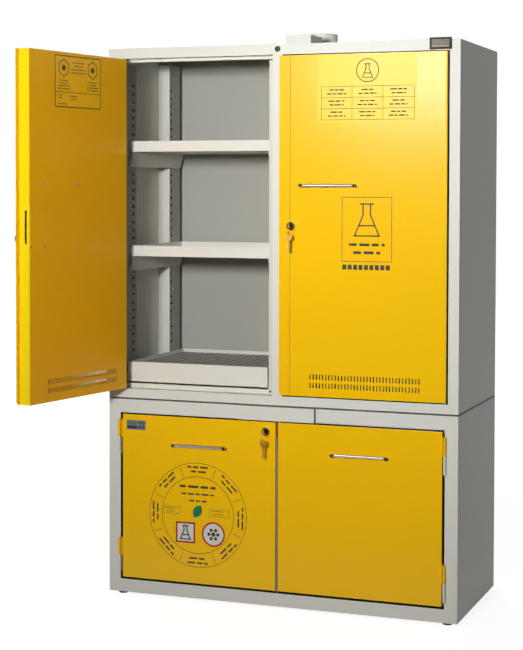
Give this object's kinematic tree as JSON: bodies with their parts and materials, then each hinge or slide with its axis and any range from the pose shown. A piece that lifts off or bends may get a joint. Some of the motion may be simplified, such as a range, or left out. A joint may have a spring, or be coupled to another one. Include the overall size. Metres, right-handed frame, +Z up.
{
  "type": "reagent storage cabinet",
  "caption": "Reagent cabinet in two stacked parts with hinged lockable doors: tray shelves, grid-topped sumps and an exhaust collar above, an open chemical cupboard below.",
  "frame": {"origin": "middle of the bottom edge of the back face, level with the body's underside; the feet reach 10 mm below it", "axes": "+Z up, -Y out of the front face, +X to the right as seen from the front"},
  "size_m": [1.2222, 1.0059, 1.806],
  "materials": {
    "casing_coat": "light grey textured powder coat",
    "inner_coat": "light grey powder coat",
    "shelf_coat": "light grey powder coat",
    "grid_coat": "grey powder coat",
    "door_coat": "signal yellow textured powder coat",
    "bar_steel": "satin",
    "bright_steel": "bright plated",
    "lock_metal": "plated die casting",
    "lock_dark": "dark plated",
    "key_metal": "nickel over brass, lightly worn",
    "black_rubber": "matte",
    "foot_metal": "black powder coat",
    "plug_plastic": "matte dark green",
    "module_plastic": "satin grey",
    "pivot_steel": "plain"
  },
  "bodies": {
    "cabinet": {"door_bumpers": "black_rubber", "exhaust_box": "casing_coat", "exhaust_collar": "casing_coat", "hinge_frame_halves": "casing_coat", "lower_back": "casing_coat", "lower_bottom": "casing_coat", "lower_front_frame": "casing_coat", "lower_post": "casing_coat", "lower_sides": "casing_coat", "lower_top": "casing_coat", "pivot_brackets": "pivot_steel", "rail_cover": "casing_coat", "shelf_supports": "inner_coat", "shelves_left": "shelf_coat", "shelves_right": "shelf_coat", "status_module": "module_plastic", "stop_lips": "casing_coat", "sump_runners": "inner_coat", "top_plug": "plug_plastic", "upper_back": "inner_coat", "upper_bottom": "inner_coat", "upper_front_frame": "casing_coat", "upper_partition": "inner_coat", "upper_sides": "casing_coat", "upper_top": "casing_coat", "uprights": "inner_coat"},
    "ul_door": {"ul_skin": "door_coat", "ul_pan": "door_coat", "ul_handle": "bar_steel", "ul_cover": "door_coat", "ul_fixings": "bright_steel", "ul_lock": "lock_metal"},
    "ul_turn": {"ul_plug": "lock_dark", "ul_key": "key_metal"},
    "ul_hang": {"ul_spare_key": "key_metal"},
    "ur_door": {"ur_skin": "door_coat", "ur_pan": "door_coat", "ur_handle": "bar_steel", "ur_cover": "door_coat", "ur_fixings": "bright_steel", "ur_lock": "lock_metal"},
    "ur_turn": {"ur_plug": "lock_dark", "ur_key": "key_metal"},
    "ur_hang": {"ur_spare_key": "key_metal"},
    "ll_door": {"ll_panel": "door_coat", "ll_hinge_halves": "door_coat", "ll_handle": "bar_steel", "ll_lock": "lock_metal"},
    "ll_turn": {"ll_plug": "lock_dark", "ll_key": "key_metal"},
    "ll_hang": {"ll_spare_key": "key_metal"},
    "lr_door": {"lr_panel": "door_coat", "lr_hinge_halves": "door_coat", "lr_handle": "bar_steel"},
    "sump_left": {"sump_tray_left": "shelf_coat", "sump_grid_left": "grid_coat"},
    "sump_right": {"sump_tray_right": "shelf_coat", "sump_grid_right": "grid_coat"},
    "levelling_feet": {"feet": "foot_metal"}
  },
  "joints": [
    {"name": "ul_door_swing", "type": "hinge", "parent": "cabinet", "child": "ul_door", "pos_m": [-0.5275, -0.494, 1.175], "axis": [0, 0, 1], "range_deg": [0, 99.7]},
    {"name": "ul_lock_turn", "type": "hinge", "parent": "ul_door", "child": "ul_turn", "pos_m": [-0.61684, -0.9662, 1.175], "axis": [-0.9857, 0.1685, 0], "range_deg": [0, 90]},
    {"name": "ul_key_hang", "type": "hinge", "parent": "ul_turn", "child": "ul_hang", "pos_m": [-0.64444, -0.96148, 1.175], "axis": [-0.1685, -0.9857, 0], "range_deg": [-12, 12]},
    {"name": "ur_door_swing", "type": "hinge", "parent": "cabinet", "child": "ur_door", "pos_m": [0.5275, -0.494, 1.175], "axis": [0, 0, 1], "range_deg": [0, 99.7]},
    {"name": "ur_lock_turn", "type": "hinge", "parent": "ur_door", "child": "ur_turn", "pos_m": [0.047, -0.5025, 1.175], "axis": [0, -1, 0], "range_deg": [-90, 0]},
    {"name": "ur_key_hang", "type": "hinge", "parent": "ur_turn", "child": "ur_hang", "pos_m": [0.047, -0.5305, 1.175], "axis": [1, 0, 0], "range_deg": [-12, 12]},
    {"name": "ll_door_swing", "type": "hinge", "parent": "cabinet", "child": "ll_door", "pos_m": [-0.531, -0.507, 0.3], "axis": [0, 0, 1], "range_deg": [-110, 0]},
    {"name": "ll_lock_turn", "type": "hinge", "parent": "ll_door", "child": "ll_turn", "pos_m": [-0.034, -0.5, 0.541], "axis": [0, -1, 0], "range_deg": [0, 90]},
    {"name": "ll_key_hang", "type": "hinge", "parent": "ll_turn", "child": "ll_hang", "pos_m": [-0.034, -0.528, 0.541], "axis": [1, 0, 0], "range_deg": [-12, 12]},
    {"name": "lr_door_swing", "type": "hinge", "parent": "cabinet", "child": "lr_door", "pos_m": [0.531, -0.507, 0.3], "axis": [0, 0, 1], "range_deg": [0, 110]},
    {"name": "sump_left_lift", "type": "slide", "parent": "cabinet", "child": "sump_left", "axis": [0, 0, 1], "range_m": [0, 0.15]},
    {"name": "sump_right_lift", "type": "slide", "parent": "cabinet", "child": "sump_right", "axis": [0, 0, 1], "range_m": [0, 0.15]},
    {"name": "feet_level", "type": "slide", "parent": "cabinet", "child": "levelling_feet", "axis": [0, 0, 1], "range_m": [-0.012, 0]}
  ]
}
